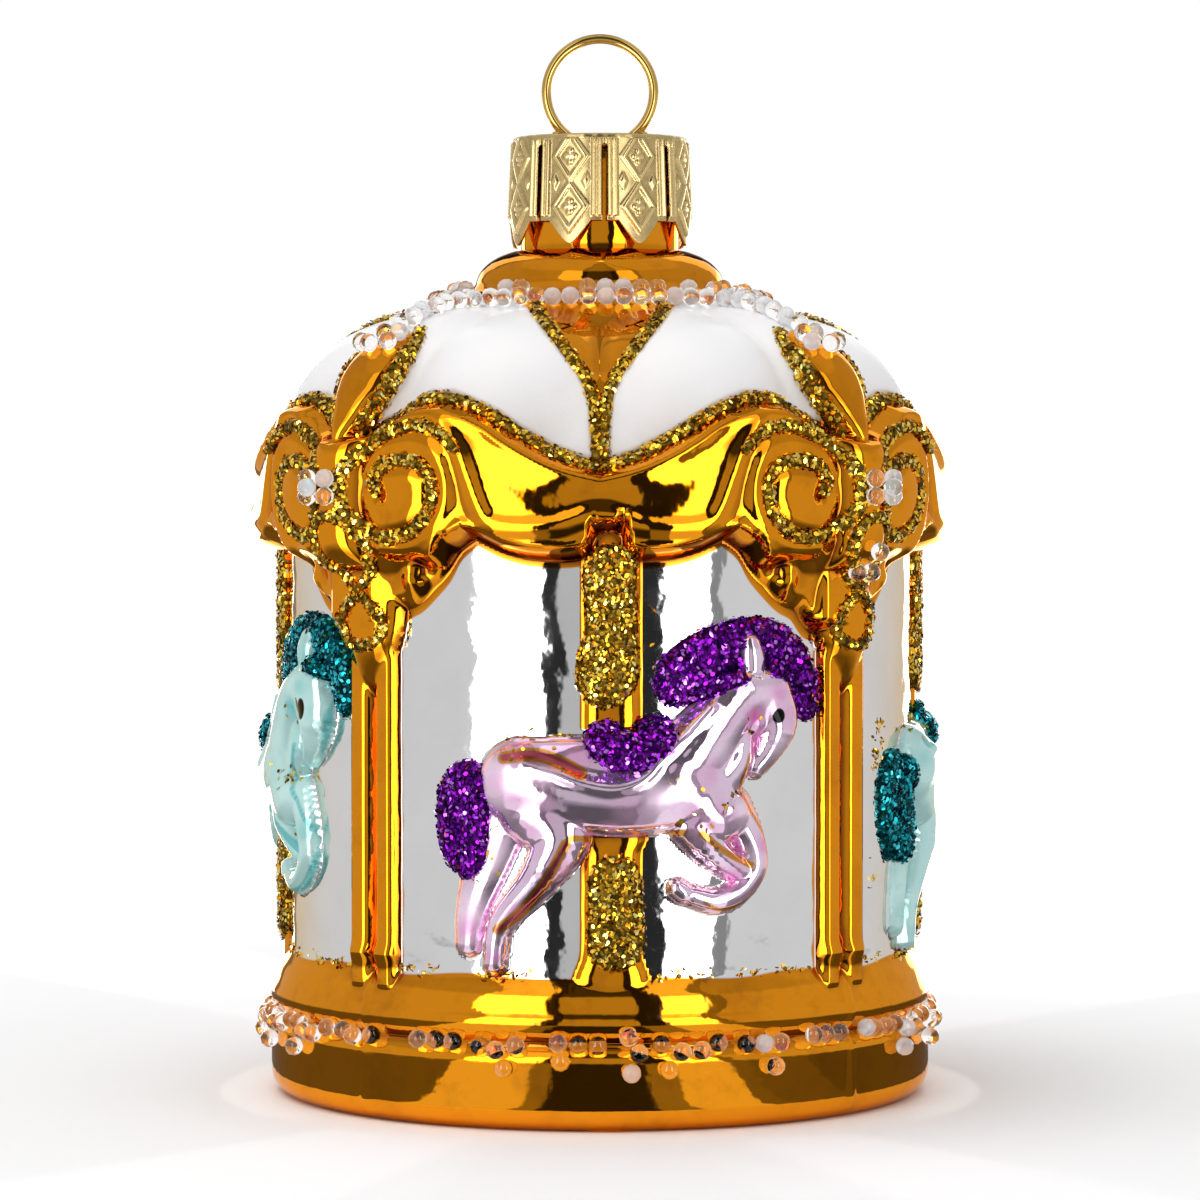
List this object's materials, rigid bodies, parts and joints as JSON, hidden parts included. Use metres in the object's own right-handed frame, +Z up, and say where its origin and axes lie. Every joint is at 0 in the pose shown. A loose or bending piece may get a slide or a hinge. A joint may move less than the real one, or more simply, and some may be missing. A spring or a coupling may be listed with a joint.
{
  "type": "carousel christmas ornament",
  "caption": "Blown glass carousel ornament with relief horses, scrolled cornice, bead and glitter trim, and a crown cap with wire loop for hanging.",
  "frame": {"origin": "centre of the base's underside", "axes": "+Z up along the body's axis to the hanging loop, -Y out of the front panel, +X to the viewer's right"},
  "size_m": [0.067, 0.067, 0.0992],
  "materials": {
    "lacquered_glass": "silvered inside, with gold, silver, pearl and tinted lacquer outside, glossy",
    "cap_metal": "satin, stamped",
    "hanger_metal": "polished",
    "glass_bead": "clear, polished",
    "gold_glitter": "glitter",
    "purple_glitter": "glitter",
    "teal_glitter": "glitter"
  },
  "bodies": {
    "glass_body": {"glass_shell": "lacquered_glass", "base_bead_garland": "glass_bead", "roof_bead_garland": "glass_bead", "pole_glitter_right": "gold_glitter", "pole_glitter_back": "gold_glitter", "pole_glitter_left": "gold_glitter", "pole_glitter_front": "gold_glitter", "mane_glitter_right": "teal_glitter", "mane_glitter_back": "purple_glitter", "mane_glitter_left": "teal_glitter", "mane_glitter_front": "purple_glitter", "saddle_glitter_right": "teal_glitter", "saddle_glitter_back": "purple_glitter", "saddle_glitter_left": "teal_glitter", "saddle_glitter_front": "purple_glitter", "tail_glitter_right": "teal_glitter", "tail_glitter_back": "purple_glitter", "tail_glitter_left": "teal_glitter", "tail_glitter_front": "purple_glitter", "wedge_glitter_right": "gold_glitter", "wedge_glitter_back": "gold_glitter", "wedge_glitter_left": "gold_glitter", "wedge_glitter_front": "gold_glitter", "swag_glitter_back_right": "gold_glitter", "swag_glitter_back_left": "gold_glitter", "swag_glitter_front_left": "gold_glitter", "swag_glitter_front_right": "gold_glitter", "rib_glitter_back_right": "gold_glitter", "rib_glitter_back_left": "gold_glitter", "rib_glitter_front_left": "gold_glitter", "rib_glitter_front_right": "gold_glitter", "capital_glitter_back_right": "gold_glitter", "capital_glitter_back_left": "gold_glitter", "capital_glitter_front_left": "gold_glitter", "capital_glitter_front_right": "gold_glitter", "left_scroll_glitter_back_right": "gold_glitter", "left_scroll_glitter_back_left": "gold_glitter", "left_scroll_glitter_front_left": "gold_glitter", "left_scroll_glitter_front_right": "gold_glitter", "right_scroll_glitter_back_right": "gold_glitter", "right_scroll_glitter_back_left": "gold_glitter", "right_scroll_glitter_front_left": "gold_glitter", "right_scroll_glitter_front_right": "gold_glitter", "corner_bead_flower_back_right": "glass_bead", "corner_bead_flower_back_left": "glass_bead", "corner_bead_flower_front_left": "glass_bead", "corner_bead_flower_front_right": "glass_bead", "corner_bead_spray_front_right": "glass_bead"},
    "cap": {"hanger_cap": "cap_metal"},
    "hanger": {"hanger_wire": "hanger_metal"}
  },
  "joints": [
    {"name": "cap_lift", "type": "slide", "parent": "glass_body", "child": "cap", "axis": [0, 0, 1], "range_m": [0, 0.018]},
    {"name": "hanger_rock", "type": "hinge", "parent": "cap", "child": "hanger", "pos_m": [0, 0, 0.08815], "axis": [1, 0, 0], "range_deg": [-10, 10]}
  ]
}
